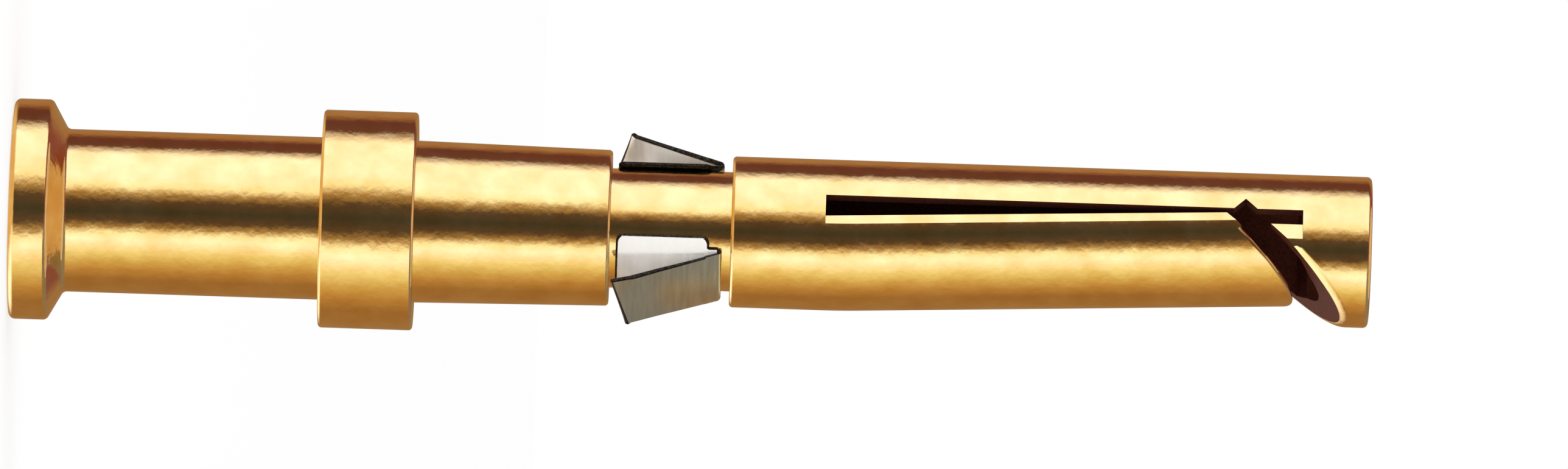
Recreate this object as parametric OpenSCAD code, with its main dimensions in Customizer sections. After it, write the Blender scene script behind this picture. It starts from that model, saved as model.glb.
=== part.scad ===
// Crimp socket contact: a turned, gold-plated body with a slotted spring
// socket, and a folded stainless retention clip on its neck.
// It stands on its crimp end, with the socket's mouth at the top.

/* [Crimp end] */
// Diameter of the flange at the wire end
flange_d = 3.62; // [3.2:0.02:4.2]
// Length of the flange's rim
flange_rim = 0.66; // [0.4:0.02:1]
// Length of the flange's sloping front side
flange_slope = 0.22; // [0.16:0.02:0.6]
// Diameter of the crimp barrel
barrel_d = 2.67; // [2.4:0.01:3]
// Diameter of the hole for the wire
wire_bore_d = 1.32; // [1:0.02:1.8]
// Depth of the hole for the wire, from the rear face
wire_bore_depth = 8; // [6:0.1:9]
// Diameter of the funnel where the wire enters
wire_funnel_d = 2; // [1.9:0.05:2.8]

/* [Collar] */
// Diameter of the collar that stops in the insert
collar_d = 3.58; // [3.2:0.02:4.2]
// Length of the collar
collar_w = 1.55; // [1:0.05:2.5]
// Length of the crimp barrel between the flange's rim and the collar
barrel_len = 4.42; // [3.5:0.02:7]

/* [Guide] */
// Diameter of the guide next to the collar
guide_rear_d = 2.66; // [2.4:0.01:3]
// Diameter of the guide next to the neck
guide_front_d = 2.56; // [2.4:0.01:2.9]
// Length of the guide
guide_len = 3.21; // [2:0.05:5]

/* [Neck] */
// Diameter of the neck under the clip
neck_d = 1.96; // [1.8:0.02:2.1]
// Length of the neck
neck_len = 1.98; // [1.8:0.02:3]

/* [Socket] */
// Outer diameter of the socket
socket_d = 2.48; // [2.4:0.02:2.8]
// Length of the socket
socket_len = 10.5; // [9.5:0.1:13]
// Diameter of the hole in the closed ring, which guides the mating pin
pin_bore_d = 1.64; // [1.5:0.01:1.7]
// Length of that hole, from the mouth
pin_bore_len = 1; // [0.8:0.02:1.1]
// Diameter of the wider hole behind the ring, where only the tongue grips the pin
relief_d = 1.96; // [1.8:0.02:2]
// Depth of the wider hole, from the mouth
relief_depth = 9.4; // [9.2:0.1:9.6]
// Depth of the lead-in chamfer at the mouth
mouth_lead = 0.18; // [0.1:0.02:0.24]

/* [Spring tongue] */
// Width of the long slots beside the tongue
slot_w = 0.5; // [0.3:0.02:0.6]
// Length of the closed ring at the mouth, past the slots
mouth_ring = 1.14; // [1:0.02:1.6]
// Length of the slots
slot_len = 7.82; // [6:0.02:8]
// Width of the slanting saw cut that frees the tongue's tip
cut_w = 0.6; // [0.3:0.05:0.7]
// Narrowest length of the mouth ring, where the slanting cut comes out
lip_len = 0.4; // [0.3:0.02:0.6]
// How far the slanting cut runs past the slots
overcut = 0.19; // [0.05:0.01:0.25]
// Angle that the tongue is bent inwards
tongue_bend = 2.6; // [0:0.1:3]
// Radius of the bend at the tongue's root
tongue_bend_r = 12; // [6:1:20]
// Direction that the tongue faces round the axis
tongue_turn = -20.5; // [-180:0.5:180]

/* [Retention clip] */
// Thickness of the clip's sheet
clip_t = 0.08; // [0.06:0.01:0.1]
// Clearance between the clip and the neck
clip_clear = 0.015; // [0.01:0.005:0.03]
// Clearance between the clip and the guide's shoulder
clip_rear_clear = 0.1; // [0.05:0.01:0.3]
// Clearance between the clip and the socket's shoulder
clip_front_clear = 0.14; // [0.08:0.01:0.25]
// Angle of the gap that snaps over the neck
clip_gap = 85; // [60:1:95]
// Direction that the gap faces round the axis
clip_turn = -128.5; // [-180:0.5:180]
// Rounding of the sheet's corners at the gap
clip_corner = 0.15; // [0.05:0.01:0.18]
// Space between the clip's band and its lances at the fold
fold_gap = 0.02; // [0.01:0.01:0.05]
// How far the band's front edge lies behind the folds
fold_setback = 0.12; // [0.05:0.01:0.16]
// Width of a lance
lance_w = 1.2; // [0.8:0.05:1.3]
// Angle that a lance flares out from the axis
lance_flare = 21; // [5:0.5:22]
// Length of a lance along the axis, at its middle
lance_len = 1.58; // [1:0.01:1.6]
// Slant of a lance's free end
lance_slant = 13.5; // [0:0.5:16]
// Angle from the middle of the gap to the first lance
lance_turn = 90; // [85:1:95]

/* [Hidden] */
$fn = 96;

GOLD = "goldenrod";
STEEL = "lightslategray";

// Small edge sizes of the turned body
rim_round = 0.1;
flange_fillet = 0.1;
shoulder_chamfer = 0.06;
mouth_round = 0.08;
// Half of a drill's point angle
drill_half = 59;
// Angle of the slanting cut from the cross-section
cut_angle = 45;
// Straight lengths in a small and in a large arc
arc_steps = 6;
fold_steps = 12;
// Reach of a cutting block past the body
past = 2;

// Stations along the axis, from the rear face
collar_z = flange_rim + barrel_len;
guide_z = collar_z + collar_w;
neck_z = guide_z + guide_len;
socket_z = neck_z + neck_len;
mouth_z = socket_z + socket_len;

// Radii
flange_r = flange_d / 2;
barrel_r = barrel_d / 2;
wire_r = wire_bore_d / 2;
funnel_r = wire_funnel_d / 2;
collar_r = collar_d / 2;
neck_r = neck_d / 2;
socket_r = socket_d / 2;
pin_r = pin_bore_d / 2;
relief_r = relief_d / 2;

// The spring tongue's stations
slot_front_z = mouth_z - mouth_ring;
slot_rear_z = slot_front_z - slot_len;
cut_slope = tan(cut_angle);
cut_axial = cut_w / cos(cut_angle);
bend_len = tongue_bend_r * tongue_bend * PI / 180;
// Front side of the slanting cut, at a distance u from the axis towards the tongue
function cut_front_z(u) = mouth_z - lip_len - (socket_r - u) * cut_slope;

// The clip's radii and stations
band_r = neck_r + clip_clear;
fold_r = clip_t + fold_gap / 2;
lance_root_r = band_r + clip_t + fold_gap;
band_rear_z = neck_z + clip_rear_clear;
fold_z = socket_z - clip_front_clear - fold_r;
band_front_z = fold_z - fold_setback;

// Points of an arc about a centre, from one angle to another
function arc(c, r, a0, a1, n = arc_steps) =
    [for (i = [0:n]) c + r * [cos(a0 + (a1 - a0) * i / n), sin(a0 + (a1 - a0) * i / n)]];

// Outline of the turned body from the axis out, as radius and height
function body_outline() = concat(
    [[0, drill_end_z(wire_bore_depth, wire_r)], [wire_r, wire_bore_depth]],
    [[wire_r, funnel_r - wire_r], [funnel_r, 0]],
    arc([flange_r - rim_round, rim_round], rim_round, -90, 0),
    arc([flange_r - rim_round, flange_rim - rim_round], rim_round, 0, flange_slope_angle()),
    arc([barrel_r + flange_fillet, flange_end_z()], flange_fillet, 180 + flange_slope_angle(), 180),
    step(barrel_r, collar_r, collar_z),
    step(collar_r, guide_rear_d / 2, guide_z),
    step(guide_front_d / 2, neck_r, neck_z),
    step(neck_r, socket_r, socket_z),
    arc([socket_r - mouth_round, mouth_z - mouth_round], mouth_round, 0, 90),
    [[pin_r + mouth_lead, mouth_z], [pin_r, mouth_z - mouth_lead]],
    [[pin_r, mouth_z - pin_bore_len], [relief_r, mouth_z - pin_bore_len - relief_r + pin_r]],
    [[relief_r, mouth_z - relief_depth], [0, mouth_z - drill_end_z(relief_depth, relief_r)]]
);

// Depth of a drilled hole at its point
function drill_end_z(depth, r) = depth + r / tan(drill_half);

// Angle of the sloping side's normal above the cross-section
function flange_slope_angle() = atan2(flange_r - barrel_r, flange_slope);

// Height where the fillet below the sloping side meets the barrel
function flange_end_z() =
    flange_rim + flange_slope + flange_fillet * tan(flange_slope_angle() / 2);

// A shoulder from one radius to another, with its outer corner chamfered
function step(r0, r1, z) = r1 > r0
    ? [[r0, z], [r1 - shoulder_chamfer, z], [r1, z + shoulder_chamfer]]
    : [[r0, z - shoulder_chamfer], [r0 - shoulder_chamfer, z], [r1, z]];

module turned_blank() {
    rotate_extrude() polygon(body_outline());
}

// What the saws take away, drawn in side view: both slots, the slanting cut with
// its overcut, and the place of the tongue, which is put back bent. The slot on
// the saw's side runs on past the slanting cut, and the far one ends in it
module spring_pocket() {
    half = slot_w / 2;
    apex_u = -half - overcut;
    out_u = socket_r + past;
    rotate([90, 0, 0]) {
        translate([0, 0, -past]) linear_extrude(2 * past) polygon([
            [-half, slot_rear_z],
            [-half, cut_front_z(apex_u) - overcut * cut_slope],
            [apex_u, cut_front_z(apex_u)],
            [out_u, cut_front_z(out_u)],
            [out_u, slot_rear_z]
        ]);
        linear_extrude(past) polygon([
            [-half, cut_front_z(-half)],
            [-half, slot_front_z],
            [half, slot_front_z],
            [half, cut_front_z(-half)]
        ]);
    }
}

// Cross-section of the tongue: the socket's wall on one side of the slots
module tongue_section() {
    difference() {
        circle(socket_r);
        circle(relief_r);
        translate([-2 * socket_r + slot_w / 2, -socket_r]) square(2 * socket_r);
    }
}

// The tongue: a short bend at its root, then straight up to the slanting cut
module tongue() {
    straight_z = slot_rear_z + bend_len;
    straight_len = mouth_z - straight_z;
    tip_z = cut_front_z(0) - cut_axial - straight_z;
    translate([-tongue_bend_r, 0, slot_rear_z]) {
        rotate([90, 0, 0])
            rotate_extrude(angle = tongue_bend)
            translate([tongue_bend_r, 0]) tongue_section();
        rotate([0, -tongue_bend, 0]) translate([tongue_bend_r, 0, 0])
            difference() {
                linear_extrude(straight_len) tongue_section();
                translate([0, 0, tip_z]) rotate([0, -cut_angle, 0])
                    translate([-past, -past, 0]) cube([3 * past, 2 * past, 2 * past]);
            }
    }
}

module contact_body() {
    color(GOLD) rotate([0, 0, tongue_turn]) union() {
        difference() {
            turned_blank();
            spring_pocket();
        }
        tongue();
    }
}

// Section of the clip: the band, the fold at its front and the leg that flares out behind
module clip_section() {
    leg = lance_len + lance_w / 2;
    rise = leg * tan(lance_flare);
    fold_c = [band_r + fold_r, fold_z];
    polygon(concat(
        [[band_r, band_rear_z]],
        arc(fold_c, fold_r, 180, 0, fold_steps),
        [[lance_root_r + clip_t + rise, fold_z - leg], [lance_root_r + rise, fold_z - leg]],
        arc(fold_c, fold_gap / 2, 0, 180),
        [[band_r + clip_t, band_rear_z]]
    ));
}

// What is cut from the folded sheet to leave two lances on the X axis, outside
// a guard that keeps the band whole up to its front edge
module lance_waste() {
    difference() {
        union() {
            for (side = [0, 1]) mirror([0, side, 0])
                translate([-past, lance_w / 2, 0]) cube([2 * past, past, fold_z + past]);
            for (turn = [0, 180])
                rotate([0, 0, turn]) translate([0, 0, fold_z - lance_len]) rotate([lance_slant, 0, 0])
                translate([0, -past, -2 * past]) cube(2 * past);
        }
        cylinder(r = band_r + clip_t + fold_gap / 2, h = band_front_z);
    }
}

// What the rounding takes off a corner of the sheet
module corner_waste() {
    rotate([90, 0, 90]) linear_extrude(past) polygon(concat(
        arc([clip_corner, clip_corner], clip_corner, 270, 180),
        [[-clip_corner, clip_corner], [-clip_corner, -clip_corner], [clip_corner, -clip_corner]]
    ));
}

// The clip, made with its gap on the X side and then turned
module retention_clip() {
    color(STEEL) rotate([0, 0, clip_turn]) difference() {
        rotate([0, 0, clip_gap / 2]) rotate_extrude(angle = 360 - clip_gap) clip_section();
        rotate([0, 0, lance_turn]) lance_waste();
        for (side = [0, 1]) mirror([0, side, 0]) rotate([0, 0, clip_gap / 2]) {
            translate([0, 0, band_rear_z]) corner_waste();
            translate([0, 0, band_front_z]) mirror([0, 0, 1]) corner_waste();
        }
    }
}

contact_body();
retention_clip();
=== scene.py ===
# Crimp socket contact: a turned, gold-plated body with a slotted spring socket,
# and a folded stainless retention clip on its neck. It stands on its crimp end.
import math

import bpy
from mathutils import Matrix, Vector


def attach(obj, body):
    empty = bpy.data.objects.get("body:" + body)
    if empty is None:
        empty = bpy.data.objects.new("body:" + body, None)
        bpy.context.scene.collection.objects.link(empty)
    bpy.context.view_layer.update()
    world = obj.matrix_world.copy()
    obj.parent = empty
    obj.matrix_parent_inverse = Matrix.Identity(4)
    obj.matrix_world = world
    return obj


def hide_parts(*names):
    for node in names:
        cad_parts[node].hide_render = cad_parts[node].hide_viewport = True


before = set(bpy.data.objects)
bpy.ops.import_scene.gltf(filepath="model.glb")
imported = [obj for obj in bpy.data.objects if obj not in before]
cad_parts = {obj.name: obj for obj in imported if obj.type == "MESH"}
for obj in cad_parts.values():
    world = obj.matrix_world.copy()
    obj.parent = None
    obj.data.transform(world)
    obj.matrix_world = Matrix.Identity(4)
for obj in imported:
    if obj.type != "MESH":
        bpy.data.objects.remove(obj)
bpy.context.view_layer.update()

# Pieces are drawn in millimetres and made metres when they are done
MM = 0.001
# Points closer than SLIVER are one, a point within NEAR of a place lies on it, and HAIR is room to spare
SLIVER = 0.0001
NEAR = 0.002
HAIR = 0.01
# Faces that meet at less than the first angle are shaded as one, and past the second the edge is sharp
SMOOTH_ANGLE = math.radians(24)
SHARP_ANGLE = math.radians(50)
# Steps in a rounded edge
ROUND_STEPS = 6

# Turned body, radii and heights from the rear face
FLANGE_R = 1.81
FLANGE_RIM = 0.66
FLANGE_SLOPE = 0.22
FLANGE_FILLET = 0.1
RIM_ROUND = 0.1
BARREL_R = 1.335
WIRE_R = 0.66
WIRE_DEPTH = 8.0
FUNNEL_R = 1.0
COLLAR_R = 1.79
COLLAR_Z = 5.08
GUIDE_Z = 6.63
GUIDE_REAR_R = 1.33
GUIDE_FRONT_R = 1.28
NECK_Z = 9.84
NECK_R = 0.98
SOCKET_Z = 11.82
SOCKET_R = 1.24
MOUTH_Z = 22.32
MOUTH_ROUND = 0.08
MOUTH_LEAD = 0.18
PIN_R = 0.82
PIN_LEN = 1.0
RELIEF_R = 0.98
RELIEF_DEPTH = 9.4
EDGE_ROUND = 0.06
DRILL_HALF = math.radians(59)
WIRE_END_Z = WIRE_DEPTH + WIRE_R / math.tan(DRILL_HALF)
RELIEF_END_Z = MOUTH_Z - RELIEF_DEPTH - RELIEF_R / math.tan(DRILL_HALF)
TURN_STEPS = 192
# Rings of points along the socket, which keep its faces short beside the cuts
RING_STEP = 0.4
RINGS = 13

# Spring tongue, which lies on the +X side until the body is turned to its place
SLOT_SIDE = 0.25
SLOT_REAR_Z = 13.36
SLOT_FRONT_Z = 21.18
CUT_W = 0.6
LIP_LEN = 0.4
OVERCUT = 0.19
TONGUE_BEND = math.radians(2.6)
BEND_LEN = 0.5445
BEND_STEPS = 6
TONGUE_TURN = math.radians(-20.5)
# The slot's edge on the tongue and past the cut, eased inwards to these places across the axis
EASED = (0.1, -1.168)
EASED_PAST = (-0.02, -1.15)
# The cut slants at 45 degrees. Its front face meets the outside LIP_LEN behind the mouth, its
# inner corner lies OVERCUT past the slots, and its middle crosses the axis at CUT_Z
DIAGONAL = math.sqrt(0.5)
CUT_X = -SLOT_SIDE - OVERCUT
CUT_Z = MOUTH_Z - LIP_LEN - SOCKET_R - CUT_W * DIAGONAL
CUT_REACH = 4
CUT_ROUND = 0.1
# The slots' cutters begin in the hollow of the socket and end outside it
HOLLOW = 0.1
OUTSIDE = 2
# A face that looks less outwards than this was sawn, and 1 is straight out
SAWN_OUTWARDS = 0.8
# A face within this angle of the socket's own direction takes its shading
ROUND_ANGLE = math.radians(15)

# Retention clip, as the middle of its sheet. Angles with no radians are in degrees
CLIP_T = 0.08
BAND_R = 1.035
BAND_REAR_Z = 9.94
BAND_FRONT_Z = 11.47
FOLD_Z = 11.59
FOLD_R = 0.05
FOLD_STEPS = 10
CLIP_STEPS = 288
LANCE_HALF = 35.0
GAP_HALF = 42.5
GAP_MIDDLE = 270
LANCE_LEN = 1.58
LANCE_STEPS = 8
# The lance turns from round to flat in its first steps past the fold
FLAT_STEPS = 5
LANCE_FLARE = math.radians(21)
LANCE_SLANT = math.radians(13.5)
CORNER = 0.15
# The band runs straight for its last degrees at the gap
FLAT_END = 15
SHEAR_ROUND = 0.034
SHEAR_STEPS = 3
CLIP_TURN = math.radians(-38.5)
# The way and the angle from one point of the band to the next, and the margin that finds one point
BAND_STEP = 2 * math.pi / CLIP_STEPS * BAND_R
BAND_STEP_ANGLE = 360 / CLIP_STEPS
BAND_MARGIN = 0.3

# Material slots of the two pieces
# The body's second slot is dull sawn brass, painted dark red-brown as painted shade in the holes, slots and
# cut
PLATED, SAWN_OR_SHADED = range(2)
# The clip's second side is painted near white, as a painted highlight
# The clip's sheared rim is painted near black, as painted shade along its edges
BRIGHT_SIDE, SHEARED_AND_SHADED, PAINTED_HIGHLIGHT_SIDE = range(3)

# Soft boxes that the metal shows, by the angle in degrees above the camera round the axis
SOFT_BOXES = (
    (-180, "#8B6B47"), (-112, "#8B673E"), (-93, "#A57F4C"), (-77, "#BDA267"), (-60, "#DAD09E"),
    (-40, "#FFFAFF"), (-31, "#F4F0DC"), (-22, "#9A7E55"), (-13, "#4E3D31"), (1, "#36342B"),
    (16, "#4E3D31"), (26, "#9A7E55"), (37, "#F4F0DC"), (48, "#FFFAFF"), (90, "#FFFAFF"),
    (107, "#5D3B33"), (128, "#5B3432"), (143, "#936A46"), (180, "#8B6B47"),
)
# Walls that the boxes give way to along the axis: a golden one behind the crimp end and a dark red one
# beyond the mouth, which are white and grey beneath, and a pale one at the far end. Each has the places
# where it fades in and is full, its colour, and whether it is there only beneath
WALLS = (
    (-0.2, -0.5, "#C9A878", False), (-0.2, -0.5, "#FFFFFF", True), (0.44, 0.6, "#774440", False),
    (0.12, 0.34, "#7A7062", True), (0.775, 0.79, "#BCA896", False),
)
BENEATH = {"From Min": 0.25, "From Max": 0.5}
METAL_LIGHT = 1.35

# The floor lies just under the contact, and the camera sees this share of it as white
FLOOR_R = 0.7
FLOOR_STEPS = 96
FLOOR_Z = -0.01 * MM
FLOOR_WHITE = 0.6
FLOOR_LIGHT = 1.04

# The soft lamp, in metres and watts
LAMP_PLACE = (-0.12, -0.08, 0.16)
LAMP_SIZE = 0.12
LAMP_POWER = 0.05

# The photograph's view: a long lens, and the picture's width and middle in millimetres at the axis
LENS = 450
SENSOR = 36
VIEW_W = 25.77
VIEW_MIDDLE = (0.015, 12.69)
VIEW_LEAN = math.radians(1.87)
# What the camera sees begins and ends this far from it, in metres
VIEW_START = 0.01
VIEW_END = 3


def rounded(r, z, radius, start, end):
    """Points of a rounded edge about (r, z), from one angle in degrees to another."""
    turn = math.radians(end - start) / ROUND_STEPS
    first = math.radians(start)
    return [(r + radius * math.cos(first + turn * i), z + radius * math.sin(first + turn * i))
            for i in range(ROUND_STEPS + 1)]


def body_outline():
    """The turned body's outline from the bottom of the wire hole round to the bottom of the pin hole."""
    slope = math.degrees(math.atan2(FLANGE_R - BARREL_R, FLANGE_SLOPE))
    fillet_z = FLANGE_RIM + FLANGE_SLOPE + FLANGE_FILLET * math.tan(math.radians(slope / 2))
    line = [(0, WIRE_END_Z), (WIRE_R, WIRE_DEPTH)]
    line += [(WIRE_R, FUNNEL_R - WIRE_R), (FUNNEL_R, 0)]
    line += rounded(FLANGE_R - RIM_ROUND, RIM_ROUND, RIM_ROUND, -90, 0)
    line += rounded(FLANGE_R - RIM_ROUND, FLANGE_RIM - RIM_ROUND, RIM_ROUND, 0, slope)
    line += rounded(BARREL_R + FLANGE_FILLET, fillet_z, FLANGE_FILLET, 180 + slope, 180)
    line += [(BARREL_R, COLLAR_Z)]
    line += rounded(COLLAR_R - EDGE_ROUND, COLLAR_Z + EDGE_ROUND, EDGE_ROUND, -90, 0)
    line += rounded(COLLAR_R - EDGE_ROUND, GUIDE_Z - EDGE_ROUND, EDGE_ROUND, 0, 90)
    line += [(GUIDE_REAR_R, GUIDE_Z)]
    line += rounded(GUIDE_FRONT_R - EDGE_ROUND, NECK_Z - EDGE_ROUND, EDGE_ROUND, 0, 90)
    line += [(NECK_R, NECK_Z), (NECK_R, SOCKET_Z)]
    line += rounded(SOCKET_R - EDGE_ROUND, SOCKET_Z + EDGE_ROUND, EDGE_ROUND, -90, 0)
    rings = [SLOT_REAR_Z + BEND_LEN * i / BEND_STEPS for i in range(BEND_STEPS + 1)]
    rings += [rings[-1] + RING_STEP * i for i in range(1, RINGS + 1)]
    line += [(SOCKET_R, z) for z in rings]
    line += rounded(SOCKET_R - MOUTH_ROUND, MOUTH_Z - MOUTH_ROUND, MOUTH_ROUND, 0, 90)
    line += [(PIN_R + MOUTH_LEAD, MOUTH_Z), (PIN_R, MOUTH_Z - MOUTH_LEAD)]
    line += [(PIN_R, MOUTH_Z - PIN_LEN), (RELIEF_R, MOUTH_Z - PIN_LEN - RELIEF_R + PIN_R)]
    line += [(RELIEF_R, z) for z in reversed(rings)]
    line += [(RELIEF_R, MOUTH_Z - RELIEF_DEPTH), (0, RELIEF_END_Z)]
    return line


def deselect():
    bpy.ops.object.select_all(action="DESELECT")


def take(obj):
    """Makes a piece the only one that is selected, and the active one."""
    deselect()
    bpy.context.view_layer.objects.active = obj
    obj.select_set(True)


def edit():
    bpy.ops.object.mode_set(mode="EDIT")


def leave_edit():
    bpy.ops.object.mode_set(mode="OBJECT")


def select_all():
    bpy.ops.mesh.select_all(action="SELECT")


def select_points(obj, wanted):
    """Selects a piece's points by their place, in edit mode."""
    bpy.ops.mesh.select_all(action="DESELECT")
    leave_edit()
    for p in obj.data.vertices:
        p.select = bool(wanted(p.co))
    edit()


def draw_out(step):
    """Extrudes what is selected."""
    bpy.ops.mesh.extrude_region_move(TRANSFORM_OT_translate={"value": step})


def apply_place():
    bpy.ops.object.transform_apply(location=True, rotation=True, scale=True)


def apply_modifier(obj, kind, **settings):
    """Adds a modifier with its settings and applies it."""
    take(obj)
    m = obj.modifiers.new(kind.lower(), kind)
    for key, value in settings.items():
        setattr(m, key, value)
    bpy.ops.object.modifier_apply(modifier=m.name)


def close_slivers():
    """Merges the active piece's points that lie all but together, as where a cut meets a ring."""
    edit()
    select_all()
    bpy.ops.mesh.remove_doubles(threshold=SLIVER)
    leave_edit()


def smooth(obj):
    """Shades a piece smooth, with its large faces true and the bend left to its small ones."""
    take(obj)
    bpy.ops.object.shade_smooth_by_angle(angle=SMOOTH_ANGLE)
    apply_modifier(obj, "WEIGHTED_NORMAL", mode="FACE_AREA_WITH_ANGLE", keep_sharp=True)


def to_place(obj, turn):
    """Turns a finished piece to its place round the axis and makes millimetres metres."""
    take(obj)
    obj.rotation_euler[2] = turn
    obj.scale = (MM, MM, MM)
    apply_place()


def draw_line(points):
    """Draws a line through points as a new piece, which is left in edit mode."""
    deselect()
    # A plane drawn together gives the first point
    bpy.ops.mesh.primitive_plane_add(size=0.1, location=points[0])
    obj = bpy.context.object
    apply_place()
    edit()
    bpy.ops.mesh.merge(type="CENTER")
    for before, after in zip(points, points[1:]):
        step = tuple(b - a for a, b in zip(before, after))
        if max(abs(s) for s in step) > SLIVER:
            draw_out(step)
    return obj


def turned_blank():
    """Draws the outline and spins it round the axis."""
    obj = draw_line([(r, 0, z) for r, z in body_outline()])
    obj.name = "gold_contact"
    select_all()
    bpy.ops.mesh.spin(steps=TURN_STEPS, angle=2 * math.pi, center=(0, 0, 0), axis=(0, 0, 1))
    select_all()
    bpy.ops.mesh.remove_doubles(threshold=SLIVER)
    bpy.ops.mesh.normals_make_consistent(inside=False)
    leave_edit()
    return obj


def slot_cutter(points, low, high):
    """A cutting prism along the axis, from its cross-section's points."""
    cutter = draw_line([(x, y, low) for x, y in points])
    select_all()
    bpy.ops.mesh.edge_face_add()
    draw_out((0, 0, high - low))
    select_all()
    bpy.ops.mesh.normals_make_consistent(inside=False)
    leave_edit()
    return cutter


def slanting_cutter():
    """A cutting block at 45 degrees, with its inner corner at CUT_X."""
    middle_x = CUT_X + DIAGONAL * (CUT_REACH + CUT_W) / 2
    corner_z = MOUTH_Z - LIP_LEN - SOCKET_R + CUT_X
    middle_z = corner_z + DIAGONAL * (CUT_REACH - CUT_W) / 2
    deselect()
    bpy.ops.mesh.primitive_cube_add(size=1, location=(middle_x, 0, middle_z), rotation=(0, -math.pi / 4, 0))
    cutter = bpy.context.object
    cutter.scale = (CUT_REACH, 2 * OUTSIDE, CUT_W)
    apply_place()
    return cutter


def saw(obj, cutter):
    """Cuts a piece with a cutter, which is then thrown away."""
    apply_modifier(obj, "BOOLEAN", operation="DIFFERENCE", solver="EXACT", object=cutter)
    bpy.data.objects.remove(cutter)
    close_slivers()


def mark_sawn_and_shaded(obj):
    """Gives the insides of the holes and the sawn faces the second material, whose dark colour is painted
    shade there.
    """
    for slot in (PLATED, SAWN_OR_SHADED):
        obj.data.materials.append(None)
    for face in obj.data.polygons:
        at = face.center
        r = math.hypot(at.x, at.y)
        outwards = (face.normal.x * at.x + face.normal.y * at.y) / max(r, SLIVER)
        # Painted shade: the holes' insides and the sawn faces take the dark second material, and the sawn
        # faces are also dull, unplated brass
        in_socket = RELIEF_END_Z < at.z < MOUTH_Z - MOUTH_LEAD and r < RELIEF_R + HAIR
        in_wire_hole = at.z < WIRE_END_Z and r < FUNNEL_R
        sawn = SLOT_REAR_Z - HAIR < at.z < MOUTH_Z - LIP_LEN and outwards < SAWN_OUTWARDS
        face.material_index = SAWN_OR_SHADED if sawn or in_socket or in_wire_hole else PLATED


def round_cut(obj):
    """Rounds the slanting cut's outer edges, as far as the tongue's sides."""
    def on_cut_edge(p):
        if abs(math.hypot(p.x, p.y) - SOCKET_R) > NEAR or p.x < SLOT_SIDE + CUT_ROUND:
            return False
        return abs(abs(p.z - p.x - CUT_Z) - CUT_W * DIAGONAL) < NEAR

    edit()
    select_points(obj, on_cut_edge)
    bpy.ops.mesh.bevel(offset=CUT_ROUND, segments=ROUND_STEPS, affect="EDGES",
                       clamp_overlap=False, material=PLATED)
    leave_edit()


def bend_tongue(obj):
    """Bends the tongue in step by step at its root, and returns the turn that its end has made."""
    bent = Matrix.Identity(4)
    step = TONGUE_BEND / BEND_STEPS
    edit()
    for i in range(BEND_STEPS):
        z = SLOT_REAR_Z + BEND_LEN * (i + 1) / BEND_STEPS
        middle = (0, 0, z - BEND_LEN / BEND_STEPS / 2)
        select_points(obj, lambda p: p.x > 2 * HAIR - SLOT_SIDE and z - SLIVER < p.z < CUT_Z + p.x)
        bpy.ops.transform.rotate(value=step, orient_axis="Y", center_override=middle)
        there = Matrix.Translation(middle)
        bent = there @ Matrix.Rotation(-step, 4, "Y") @ there.inverted() @ bent
    leave_edit()
    return bent


def true_round(obj, bent):
    """Makes the socket's shading truly round beside the cuts, also on the bent tongue."""
    mesh = obj.data
    normals = [corner.vector.copy() for corner in mesh.corner_normals]
    forms = [(form, form.inverted()) for form in (bent, Matrix.Identity(4))]
    for face in mesh.polygons:
        for corner, point in zip(face.loop_indices, face.vertices):
            for form, back in forms:
                p = back @ mesh.vertices[point].co
                r = math.hypot(p.x, p.y)
                if abs(r - SOCKET_R) > NEAR or not SLOT_REAR_Z + BEND_LEN < p.z < MOUTH_Z - MOUTH_ROUND:
                    continue
                true = form.to_3x3() @ Vector((p.x / r, p.y / r, 0))
                if true.dot(face.normal) > math.cos(ROUND_ANGLE):
                    normals[corner] = true
                    break
    mesh.normals_split_custom_set([tuple(n.normalized()) for n in normals])


def gold_contact():
    """The turned body, sawn and with its tongue bent in."""
    obj = turned_blank()
    # The far slot ends in the slanting cut. The near one runs on past it, and
    # its edge on the tongue's side is eased
    far = [(-SLOT_SIDE, HOLLOW), (-SLOT_SIDE, OUTSIDE), (SLOT_SIDE, OUTSIDE), (SLOT_SIDE, HOLLOW)]
    saw(obj, slot_cutter(far, SLOT_REAR_Z, CUT_Z))
    edge = (SLOT_SIDE, -math.sqrt(SOCKET_R ** 2 - SLOT_SIDE ** 2))
    for eased, low, high in ((EASED, SLOT_REAR_Z, CUT_Z), (EASED_PAST, CUT_Z, SLOT_FRONT_Z)):
        out = (edge[0] + 2 * (edge[0] - eased[0]), edge[1] + 2 * (edge[1] - eased[1]))
        near = [(-SLOT_SIDE, HOLLOW), (-SLOT_SIDE, -OUTSIDE), (out[0], -OUTSIDE), out]
        near += [eased, (eased[0], HOLLOW)]
        saw(obj, slot_cutter(near, low, high))
    saw(obj, slanting_cutter())
    mark_sawn_and_shaded(obj)
    round_cut(obj)
    bent = bend_tongue(obj)
    smooth(obj)
    true_round(obj, bent)
    to_place(obj, TONGUE_TURN)
    return obj


def clip_angle(p):
    """A point's angle round the axis in degrees, from 0 to 360, with the gap on the -Y side."""
    return math.degrees(math.atan2(p.y, p.x)) % 360


def open_band():
    """The clip's band as a sheet, open at its gap. It is left in edit mode."""
    deselect()
    bpy.ops.mesh.primitive_circle_add(vertices=CLIP_STEPS, radius=BAND_R, location=(0, 0, BAND_REAR_Z))
    obj = bpy.context.object
    obj.name = "spring_clip"
    apply_place()
    edit()
    select_points(obj, lambda p: abs(clip_angle(p) - GAP_MIDDLE) < GAP_HALF - BAND_MARGIN)
    bpy.ops.mesh.delete(type="VERT")
    select_all()
    for i in range(2):
        draw_out((0, 0, (BAND_FRONT_Z - BAND_REAR_Z) / 2))
    return obj


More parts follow.
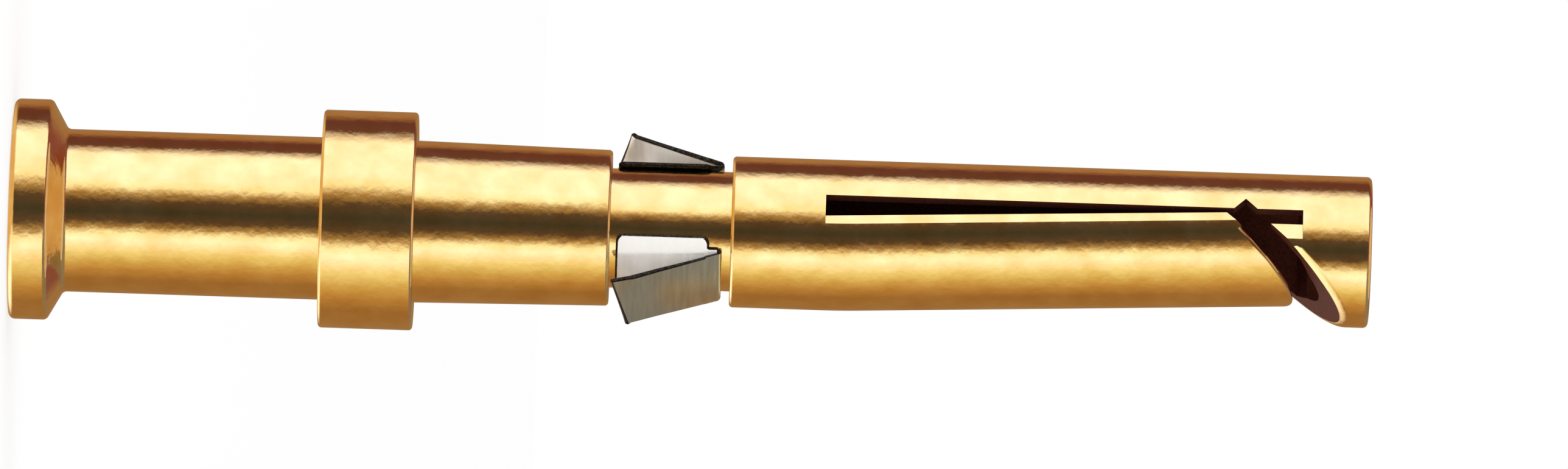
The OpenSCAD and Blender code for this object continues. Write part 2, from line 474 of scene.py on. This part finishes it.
def draw_lance(obj, side):
    """Draws one lance out of the band's front edge, round its fold and back along the band."""
    select_points(obj, lambda p: p.z > BAND_FRONT_Z - SLIVER and p.x * side > 0
                  and abs(math.degrees(math.atan2(p.y, p.x * side))) < LANCE_HALF + BAND_MARGIN)
    draw_out((0, 0, FOLD_Z - BAND_FRONT_Z))
    fold = [math.pi * i / FOLD_STEPS for i in range(1, FOLD_STEPS + 1)]
    path = [(FOLD_R * (1 - math.cos(turn)), FOLD_R * math.sin(turn)) for turn in fold]
    path += [(2 * FOLD_R + LANCE_LEN * i / LANCE_STEPS * math.tan(LANCE_FLARE),
              -LANCE_LEN * i / LANCE_STEPS) for i in range(1, LANCE_STEPS + 1)]
    before = (0.0, 0.0)
    curve = 1.0
    for i, (out, up) in enumerate(path):
        draw_out((side * (out - before[0]), 0, up - before[1]))
        before = (out, up)
        # Past the fold the lance is flattened between its two edges
        left = max(0.0, 1 - max(0, i - FOLD_STEPS + 1) / FLAT_STEPS)
        if left < curve:
            edge_x = side * (BAND_R * math.cos(math.radians(LANCE_HALF)) + out)
            bpy.ops.transform.resize(value=(left / curve, 1, 1), center_override=(edge_x, 0, 0))
            curve = left
    bpy.ops.transform.rotate(value=-side * LANCE_SLANT, orient_axis="X",
                             center_override=(0, 0, FOLD_Z - LANCE_LEN))


def round_corners(obj):
    """Rounds the band's corners at the gap."""
    for edge_z, inwards in ((BAND_REAR_Z, 1), (BAND_FRONT_Z, -1)):
        for i in range(int(CORNER / BAND_STEP) + 1):
            inset = CORNER - math.sqrt(max(0, CORNER ** 2 - (CORNER - i * BAND_STEP) ** 2))
            at = GAP_HALF + i * BAND_STEP_ANGLE
            select_points(obj, lambda p: abs(p.z - edge_z) < NEAR
                          and abs(abs(clip_angle(p) - GAP_MIDDLE) - at) < BAND_MARGIN)
            bpy.ops.transform.translate(value=(0, 0, inwards * inset))


def straighten_ends(obj):
    """Turns the band's last degrees at the gap out, one by one, until they lie straight."""
    for turn in range(FLAT_END, 0, -1):
        for hand in (1, -1):
            bend = math.radians(GAP_MIDDLE + hand * (GAP_HALF + turn))
            select_points(obj, lambda p: p.z < BAND_FRONT_Z + SLIVER
                          and math.hypot(p.x, p.y) < BAND_R + CLIP_T
                          and 0 < hand * (clip_angle(p) - GAP_MIDDLE) < GAP_HALF + turn - BAND_MARGIN)
            bpy.ops.transform.rotate(value=-hand * math.radians(1), orient_axis="Z",
                                     center_override=(BAND_R * math.cos(bend), BAND_R * math.sin(bend), 0))


def round_sheared(obj):
    """Rounds the sheared edges, apart from the folds, which are too tight for it."""
    sides = {}
    for face in obj.data.polygons:
        for key in face.edge_keys:
            sides.setdefault(key, []).append(face.normal)
    weight = obj.data.attributes.new("bevel_weight_edge", "FLOAT", "EDGE")
    for e in obj.data.edges:
        top = max(obj.data.vertices[i].co.z for i in e.vertices)
        sharp = sides[e.key][0].dot(sides[e.key][-1]) < math.cos(SHARP_ANGLE)
        weight.data[e.index].value = float(sharp and top < BAND_FRONT_Z + HAIR)
    apply_modifier(obj, "BEVEL", width=SHEAR_ROUND, segments=SHEAR_STEPS, limit_method="WEIGHT",
                   use_clamp_overlap=False, material=SHEARED_AND_SHADED)
    close_slivers()


def spring_clip():
    """The folded clip: a band of sheet, drawn out into two lances and given its thickness."""
    obj = open_band()
    for side in (1, -1):
        draw_lance(obj, side)
    round_corners(obj)
    straighten_ends(obj)
    select_all()
    bpy.ops.mesh.normals_make_consistent(inside=False)
    leave_edit()
    for slot in (BRIGHT_SIDE, SHEARED_AND_SHADED, PAINTED_HIGHLIGHT_SIDE):
        obj.data.materials.append(None)
    apply_modifier(obj, "SOLIDIFY", thickness=CLIP_T, offset=0, use_even_offset=True,
                   material_offset=PAINTED_HIGHLIGHT_SIDE, material_offset_rim=SHEARED_AND_SHADED)
    round_sheared(obj)
    smooth(obj)
    to_place(obj, CLIP_TURN)
    return obj


def linear(code):
    """An sRGB hex colour as linear red, green, blue and alpha."""
    parts = [int(code[i:i + 2], 16) / 255 for i in (1, 3, 5)]
    return [c / 12.92 if c <= 0.04045 else ((c + 0.055) / 1.055) ** 2.4 for c in parts] + [1]


def add(tree, kind, settings=None, links=None):
    """Adds a node with its settings, its stops of colour, its socket values and its links."""
    node = tree.nodes.new(kind)
    for key, value in (settings or {}).items():
        if key == "stops":
            ramp = node.color_ramp.elements
            while len(ramp) < len(value):
                ramp.new(0.5)
            for stop, (position, code) in zip(ramp, value):
                stop.position = position
                stop.color = linear(code)
        elif isinstance(key, str) and hasattr(node, key):
            setattr(node, key, value)
        else:
            node.inputs[key].default_value = value
    for key, source in (links or {}).items():
        tree.links.new(source, node.inputs[key])
    return node


def new_material(name):
    made = bpy.data.materials.new(name)
    made.use_nodes = True
    made.node_tree.nodes.clear()
    return made, made.node_tree


def gold_plate():
    """Hard gold plated on turned brass: bright and warm, with the lathe's fine rings and an uneven
    satin plate that frays the edges of reflections."""
    made, tree = new_material("gold_plate_on_turned_brass")
    place = add(tree, "ShaderNodeTexCoord").outputs["Object"]
    # Uneven plate: patches of about 0.5 mm, and pits of about 0.15 mm
    patches = add(tree, "ShaderNodeTexNoise", {"Scale": 2000.0, "Detail": 3.0}, {"Vector": place})
    pits = add(tree, "ShaderNodeTexNoise", {"Scale": 6500.0, "Detail": 2.0}, {"Vector": place})
    # Lathe rings: finer on the real piece, and drawn about 0.1 mm apart to show
    rings = add(tree, "ShaderNodeMapping", {"Scale": (300, 300, 10000)}, {"Vector": place})
    lathe = add(tree, "ShaderNodeTexNoise", {"Scale": 1.0, "Detail": 3.0},
                {"Vector": rings.outputs["Vector"]})
    tint = add(tree, "ShaderNodeValToRGB", {"stops": ((0.3, "#F3D08C"), (0.7, "#FFE6AC"))},
               {"Fac": patches.outputs["Fac"]})
    rough = add(tree, "ShaderNodeMapRange",
                {"From Min": 0.3, "From Max": 0.7, "To Min": 0.07, "To Max": 0.13},
                {"Value": pits.outputs["Fac"]})
    waver = add(tree, "ShaderNodeBump", {"Strength": 1.0, "Distance": 0.005 * MM},
                {"Height": patches.outputs["Fac"]})
    fray = add(tree, "ShaderNodeBump", {"Strength": 1.0, "Distance": 0.004 * MM},
               {"Height": pits.outputs["Fac"], "Normal": waver.outputs["Normal"]})
    turned = add(tree, "ShaderNodeBump", {"Strength": 1.0, "Distance": 0.001 * MM},
                 {"Height": lathe.outputs["Fac"], "Normal": fray.outputs["Normal"]})
    skin = add(tree, "ShaderNodeBsdfPrincipled", {"Metallic": 1.0},
               {"Base Color": tint.outputs["Color"], "Roughness": rough.outputs["Result"],
                "Normal": turned.outputs["Normal"]})
    add(tree, "ShaderNodeOutputMaterial", {}, {"Surface": skin.outputs["BSDF"]})
    return made


def sawn_brass_and_painted_shade():
    """Sawn and bored brass under a thin plate: dull, with the saw's fine marks, and painted a deep
    red-brown as painted shade in the holes, the slots and the cut.
    """
    made, tree = new_material("sawn_brass_with_painted_shade")
    place = add(tree, "ShaderNodeTexCoord").outputs["Object"]
    # Saw marks: about 0.05 mm
    marks = add(tree, "ShaderNodeTexNoise", {"Scale": 20000.0, "Detail": 2.0}, {"Vector": place})
    # Painted shade: the deep red-brown stands for the shade inside the holes, the slots and the cut
    tint = add(tree, "ShaderNodeValToRGB", {"stops": ((0.3, "#4C241A"), (0.7, "#653226"))},
               {"Fac": marks.outputs["Fac"]})
    cut = add(tree, "ShaderNodeBump", {"Strength": 1.0, "Distance": 0.002 * MM},
              {"Height": marks.outputs["Fac"]})
    skin = add(tree, "ShaderNodeBsdfPrincipled",
               {"Metallic": 0.4, "Roughness": 0.6, "Specular IOR Level": 0.1},
               {"Base Color": tint.outputs["Color"], "Normal": cut.outputs["Normal"]})
    add(tree, "ShaderNodeOutputMaterial", {}, {"Surface": skin.outputs["BSDF"]})
    return made


def spring_steel(name, dark, light, metallic):
    """Rolled stainless spring strip, with fine rolling lines: grey and mirror-like, or, on the strip's
    second side, a near-white and less metallic colour that is a painted highlight."""
    made, tree = new_material(name)
    place = add(tree, "ShaderNodeTexCoord").outputs["Object"]
    # Rolling lines: about 0.07 mm apart, along the band
    lines = add(tree, "ShaderNodeMapping", {"Scale": (1500, 1500, 14000)}, {"Vector": place})
    rolled = add(tree, "ShaderNodeTexNoise", {"Scale": 1.0, "Detail": 3.0},
                 {"Vector": lines.outputs["Vector"]})
    tint = add(tree, "ShaderNodeValToRGB", {"stops": ((0.3, dark), (0.7, light))},
               {"Fac": rolled.outputs["Fac"]})
    rough = add(tree, "ShaderNodeMapRange",
                {"From Min": 0.3, "From Max": 0.7, "To Min": 0.2, "To Max": 0.28},
                {"Value": rolled.outputs["Fac"]})
    grain = add(tree, "ShaderNodeBump", {"Strength": 1.0, "Distance": 0.0002 * MM},
                {"Height": rolled.outputs["Fac"]})
    skin = add(tree, "ShaderNodeBsdfPrincipled", {"Metallic": metallic},
               {"Base Color": tint.outputs["Color"], "Roughness": rough.outputs["Result"],
                "Normal": grain.outputs["Normal"]})
    add(tree, "ShaderNodeOutputMaterial", {}, {"Surface": skin.outputs["BSDF"]})
    return made


def sheared_steel_painted_shade():
    """The strip's sheared edges: torn and rough, and painted near black as painted shade for the shadow and
    dark reflection along them.
    """
    made, tree = new_material("sheared_stainless_edge_painted_shade")
    place = add(tree, "ShaderNodeTexCoord").outputs["Object"]
    # Tears of about 0.04 mm
    torn = add(tree, "ShaderNodeTexNoise", {"Scale": 25000.0, "Detail": 2.0}, {"Vector": place})
    # Painted shade: the near-black tint stands for the shadow and dark reflection along the edges
    tint = add(tree, "ShaderNodeValToRGB", {"stops": ((0.35, "#1C1B1A"), (0.7, "#4C4A46"))},
               {"Fac": torn.outputs["Fac"]})
    edge = add(tree, "ShaderNodeBump", {"Strength": 1.0, "Distance": 0.002 * MM},
               {"Height": torn.outputs["Fac"]})
    skin = add(tree, "ShaderNodeBsdfPrincipled", {"Metallic": 1.0, "Roughness": 0.5},
               {"Base Color": tint.outputs["Color"], "Normal": edge.outputs["Normal"]})
    add(tree, "ShaderNodeOutputMaterial", {}, {"Surface": skin.outputs["BSDF"]})
    return made


def studio():
    """White surroundings. In the metal they are a studio's soft boxes round the axis: bright above and
    below the camera, dark at the camera itself and high behind, and warm and dim beneath."""
    world = bpy.data.worlds.new("studio")
    bpy.context.scene.world = world
    world.use_nodes = True
    tree = world.node_tree
    tree.nodes.clear()
    ray = add(tree, "ShaderNodeLightPath")
    place = add(tree, "ShaderNodeTexCoord").outputs["Generated"]
    way = add(tree, "ShaderNodeSeparateXYZ", {}, {"Vector": place})
    up = add(tree, "ShaderNodeMath", {"operation": "MULTIPLY", 1: -1.0}, {0: way.outputs["X"]})
    near = add(tree, "ShaderNodeMath", {"operation": "MULTIPLY", 1: -1.0}, {0: way.outputs["Y"]})
    angle = add(tree, "ShaderNodeMath", {"operation": "ARCTAN2"}, {0: up.outputs[0], 1: near.outputs[0]})
    turn = add(tree, "ShaderNodeMapRange", {"From Min": -math.pi, "From Max": math.pi},
               {"Value": angle.outputs[0]})
    stops = [((degrees + 180) / 360, code) for degrees, code in SOFT_BOXES]
    boxes = add(tree, "ShaderNodeValToRGB", {"stops": stops}, {"Fac": turn.outputs["Result"]})
    beneath = add(tree, "ShaderNodeMapRange", BENEATH, {"Value": way.outputs["X"]})
    colour = boxes.outputs["Color"]
    for start, full, code, only_beneath in WALLS:
        share = add(tree, "ShaderNodeMapRange", {"From Min": start, "From Max": full},
                    {"Value": way.outputs["Z"]}).outputs["Result"]
        if only_beneath:
            share = add(tree, "ShaderNodeMath", {"operation": "MULTIPLY"},
                        {0: share, 1: beneath.outputs["Result"]}).outputs[0]
        colour = add(tree, "ShaderNodeMix", {"data_type": "RGBA", 7: linear(code)},
                     {0: share, 6: colour}).outputs[2]
    in_metal = add(tree, "ShaderNodeBackground", {"Strength": METAL_LIGHT}, {"Color": colour})
    plain = add(tree, "ShaderNodeBackground", {"Color": (1, 1, 1, 1), "Strength": 1.0})
    both = add(tree, "ShaderNodeMixShader", {},
               {0: ray.outputs["Is Glossy Ray"], 1: plain.outputs[0], 2: in_metal.outputs[0]})
    add(tree, "ShaderNodeOutputWorld", {}, {"Surface": both.outputs[0]})


def floor():
    """A pale floor that the camera sees as white, with a faint shadow."""
    deselect()
    bpy.ops.mesh.primitive_circle_add(vertices=FLOOR_STEPS, radius=FLOOR_R, fill_type="NGON",
                                      location=(0, 0, FLOOR_Z))
    obj = bpy.context.object
    obj.name = "floor"
    made, tree = new_material("pale_paper")
    ray = add(tree, "ShaderNodeLightPath")
    share = add(tree, "ShaderNodeMath", {"operation": "MULTIPLY", 1: FLOOR_WHITE},
                {0: ray.outputs["Is Camera Ray"]})
    paper = add(tree, "ShaderNodeBsdfDiffuse", {"Color": linear("#F4F4F4")})
    white = add(tree, "ShaderNodeEmission", {"Color": (1, 1, 1, 1), "Strength": FLOOR_LIGHT})
    both = add(tree, "ShaderNodeMixShader", {},
               {0: share.outputs[0], 1: paper.outputs[0], 2: white.outputs[0]})
    add(tree, "ShaderNodeOutputMaterial", {}, {"Surface": both.outputs[0]})
    obj.data.materials.append(made)
    # The metal shows the studio, and not the floor so near to it
    obj.visible_glossy = False


def lamp():
    """A soft lamp that looks at the middle of the contact."""
    data = bpy.data.lights.new("key_lamp", "AREA")
    data.shape = "DISK"
    data.size = LAMP_SIZE
    data.energy = LAMP_POWER
    obj = bpy.data.objects.new("key_lamp", data)
    bpy.context.scene.collection.objects.link(obj)
    obj.location = LAMP_PLACE
    away = obj.location.copy()
    away.z -= MOUTH_Z / 2 * MM
    obj.rotation_euler = away.to_track_quat("Z", "Y").to_euler()
    obj.visible_glossy = False


def camera():
    """The photograph's view: square to the axis through a long lens, with the mouth on the right
    and a little low."""
    data = bpy.data.cameras.new("camera")
    data.sensor_width = SENSOR
    data.lens = LENS
    data.clip_start = VIEW_START
    data.clip_end = VIEW_END
    obj = bpy.data.objects.new("camera", data)
    bpy.context.scene.collection.objects.link(obj)
    away = VIEW_W * MM / SENSOR * LENS
    s, c = math.sin(VIEW_LEAN), math.cos(VIEW_LEAN)
    x, z = (v * MM for v in VIEW_MIDDLE)
    obj.matrix_world = Matrix(((-s, -c, 0, x), (0, 0, -1, -away), (c, -s, 0, z), (0, 0, 0, 1)))
    bpy.context.scene.camera = obj


camera()
contact = gold_contact()
clip = spring_clip()
contact.data.materials[PLATED] = gold_plate()
contact.data.materials[SAWN_OR_SHADED] = sawn_brass_and_painted_shade()
clip.data.materials[BRIGHT_SIDE] = spring_steel("rolled_stainless_strip", "#D0D2C8", "#E2E4DA", 1.0)
clip.data.materials[SHEARED_AND_SHADED] = sheared_steel_painted_shade()
# Painted highlight: the strip's second side is painted near white for the white reflection on it
clip.data.materials[PAINTED_HIGHLIGHT_SIDE] = spring_steel("rolled_stainless_strip_painted_highlight_side", "#F0EFEC", "#FAF9F7", 0.4)
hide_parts("contact_body")
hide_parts("retention_clip")
for piece, finish in ((contact, "gold_plate"), (clip, "spring_steel")):
    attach(piece, "root")

studio()
floor()
lamp()
bpy.context.scene.view_settings.view_transform = "Standard"
